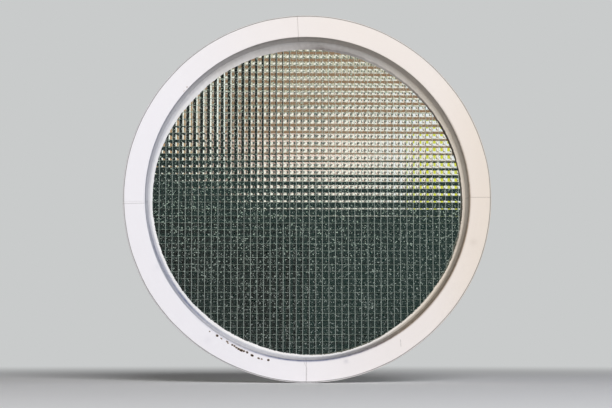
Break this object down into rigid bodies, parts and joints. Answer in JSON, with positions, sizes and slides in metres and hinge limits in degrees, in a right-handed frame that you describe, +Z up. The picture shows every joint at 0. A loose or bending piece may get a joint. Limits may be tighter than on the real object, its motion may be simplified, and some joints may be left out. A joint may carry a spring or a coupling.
{
  "type": "porthole window",
  "caption": "Fixed round window: a painted timber ring in quarter segments holds a round cross-reeded pane, bedded in putty and beaded from the room side",
  "frame": {"origin": "centre of the frame's round outside, in the plane of the wall's outer face", "axes": "+X right and +Z up as seen from outside, +Y into the wall, from outside to the room"},
  "size_m": [0.6, 0.056, 0.6],
  "materials": {
    "painted_timber": "brushed oil gloss, aged",
    "tongue_plywood": "sanded",
    "reeded_glass": "rolled, reeded on both faces",
    "painted_putty": "knifed and painted",
    "bedding_putty": "pressed",
    "block_rubber": "moulded",
    "pin_brass": "drawn"
  },
  "bodies": {
    "root": {"back_bedding": "bedding_putty", "bead_pins": "pin_brass", "frame_segment_lower_left": "painted_timber", "frame_segment_lower_right": "painted_timber", "frame_segment_upper_left": "painted_timber", "frame_segment_upper_right": "painted_timber", "glass_pane": "reeded_glass", "glazing_bead_lower_left": "painted_timber", "glazing_bead_lower_right": "painted_timber", "glazing_bead_upper_left": "painted_timber", "glazing_bead_upper_right": "painted_timber", "glazing_putty": "painted_putty", "location_block_left": "block_rubber", "location_block_right": "block_rubber", "setting_block_left": "block_rubber", "setting_block_right": "block_rubber", "tongue_bottom": "tongue_plywood", "tongue_left": "tongue_plywood", "tongue_right": "tongue_plywood", "tongue_top": "tongue_plywood"}
  },
  "joints": []
}
